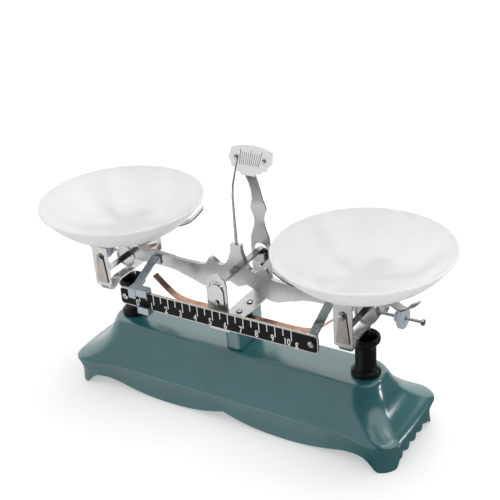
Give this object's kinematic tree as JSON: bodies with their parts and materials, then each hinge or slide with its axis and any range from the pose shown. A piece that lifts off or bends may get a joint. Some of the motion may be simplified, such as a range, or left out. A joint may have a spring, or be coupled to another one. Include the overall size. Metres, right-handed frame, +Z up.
{
  "type": "laboratory balance",
  "caption": "Two-pan table balance: equal-armed beam on a knife edge, scale bar with rider, dial and pointer, stay linkage in a hollow cast base.",
  "frame": {"origin": "floor level under the middle of the balance, centred between the pans", "axes": "+X along the beam to the right pan, +Y to the back, +Z up"},
  "size_m": [0.3928, 0.1508, 0.2367],
  "materials": {
    "green_enamel": "gloss enamel",
    "chrome_sheet": "chromed sheet steel",
    "steel": "bright steel",
    "knife_steel": "ground hardened steel",
    "zinc": "bright zinc plate",
    "copper": "bare copper strip",
    "black_plastic": "black moulded plastic",
    "black_scale": "black face with white marks",
    "white_plastic": "milky white plastic",
    "dial_white": "white dial plate"
  },
  "bodies": {
    "base": {"base_casing": "green_enamel", "left_sleeve": "black_plastic", "right_sleeve": "black_plastic", "pillar": "green_enamel", "limit_strip": "copper", "bearing_yoke": "chrome_sheet", "front_bearing_cover": "chrome_sheet", "front_cover_screw": "steel", "front_bearing": "knife_steel", "rear_bearing_cover": "chrome_sheet", "rear_cover_screw": "steel", "rear_bearing": "knife_steel", "yoke_screw_1": "steel", "yoke_screw_2": "steel", "dial_plate": "dial_white", "left_dial_screw": "steel", "right_dial_screw": "steel", "stay_bracket": "zinc"},
    "beam": {"beam_plate": "chrome_sheet", "central_knife": "knife_steel", "left_end_knife": "knife_steel", "right_end_knife": "knife_steel", "pointer": "steel", "scale_bar": "black_scale", "left_scale_screw": "steel", "right_scale_screw": "steel", "left_strut": "zinc", "right_strut": "zinc", "left_balance_screw": "steel", "right_balance_screw": "steel"},
    "rider": {"rider": "zinc"},
    "left_nut": {"left_balance_nut": "steel"},
    "right_nut": {"right_balance_nut": "steel"},
    "left_stirrup": {"left_stirrup": "chrome_sheet", "left_front_end_cover": "chrome_sheet", "left_front_end_screw": "steel", "left_front_end_bearing": "knife_steel", "left_rear_end_cover": "chrome_sheet", "left_rear_end_screw": "steel", "left_rear_end_bearing": "knife_steel"},
    "right_stirrup": {"right_stirrup": "chrome_sheet", "right_front_end_cover": "chrome_sheet", "right_front_end_screw": "steel", "right_front_end_bearing": "knife_steel", "right_rear_end_cover": "chrome_sheet", "right_rear_end_screw": "steel", "right_rear_end_bearing": "knife_steel"},
    "left_pan": {"left_pan": "white_plastic"},
    "right_pan": {"right_pan": "white_plastic"},
    "stay": {"stay_bar": "zinc"}
  },
  "joints": [
    {"name": "beam_swing", "type": "hinge", "parent": "base", "child": "beam", "pos_m": [0, 0, 0.1315], "axis": [0, 1, 0], "range_deg": [-4, 4]},
    {"name": "left_stirrup_swing", "type": "hinge", "parent": "beam", "child": "left_stirrup", "pos_m": [-0.121, 0, 0.1265], "axis": [0, 1, 0], "range_deg": [-4, 4]},
    {"name": "right_stirrup_swing", "type": "hinge", "parent": "beam", "child": "right_stirrup", "pos_m": [0.121, 0, 0.1265], "axis": [0, 1, 0], "range_deg": [-4, 4]},
    {"name": "stay_swing", "type": "hinge", "parent": "base", "child": "stay", "pos_m": [0, 0, 0.044], "axis": [0, 1, 0], "range_deg": [-4, 4]},
    {"name": "left_pan_lift", "type": "slide", "parent": "left_stirrup", "child": "left_pan", "axis": [0, 0, 1], "range_m": [0, 0.06]},
    {"name": "right_pan_lift", "type": "slide", "parent": "right_stirrup", "child": "right_pan", "axis": [0, 0, 1], "range_m": [0, 0.06]},
    {"name": "rider_slide", "type": "slide", "parent": "beam", "child": "rider", "axis": [1, 0, 0], "range_m": [0, 0.154]},
    {"name": "left_nut_travel", "type": "slide", "parent": "beam", "child": "left_nut", "axis": [-1, 0, 0], "range_m": [-0.005, 0.014]},
    {"name": "right_nut_travel", "type": "slide", "parent": "beam", "child": "right_nut", "axis": [1, 0, 0], "range_m": [-0.014, 0.013]}
  ],
  "couplings": [
    {"joint": "left_stirrup_swing", "follows": "beam_swing", "ratio": -1},
    {"joint": "right_stirrup_swing", "follows": "beam_swing", "ratio": -1},
    {"joint": "stay_swing", "follows": "beam_swing", "ratio": 1}
  ]
}
